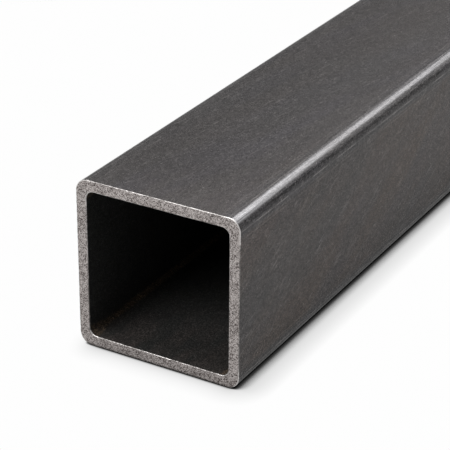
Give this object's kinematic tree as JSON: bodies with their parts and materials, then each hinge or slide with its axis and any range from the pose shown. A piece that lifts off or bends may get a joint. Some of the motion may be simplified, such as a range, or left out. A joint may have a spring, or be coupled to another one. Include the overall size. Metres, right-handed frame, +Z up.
{
  "type": "square metal tube",
  "caption": "Length of steel square hollow section with rounded corners, sawn square and deburred at both ends.",
  "frame": {"origin": "under the middle of the tube's length, on its flat underside", "axes": "+Y along the tube, from the near sawn end to the far one; +X across it; +Z up, normal to the upper wall"},
  "size_m": [0.06, 1, 0.06],
  "materials": {
    "mild_steel": "dark grey mill finish, rolled and lightly oiled, with pale sawn ends"
  },
  "bodies": {
    "root": {"square_tube": "mild_steel"}
  },
  "joints": []
}
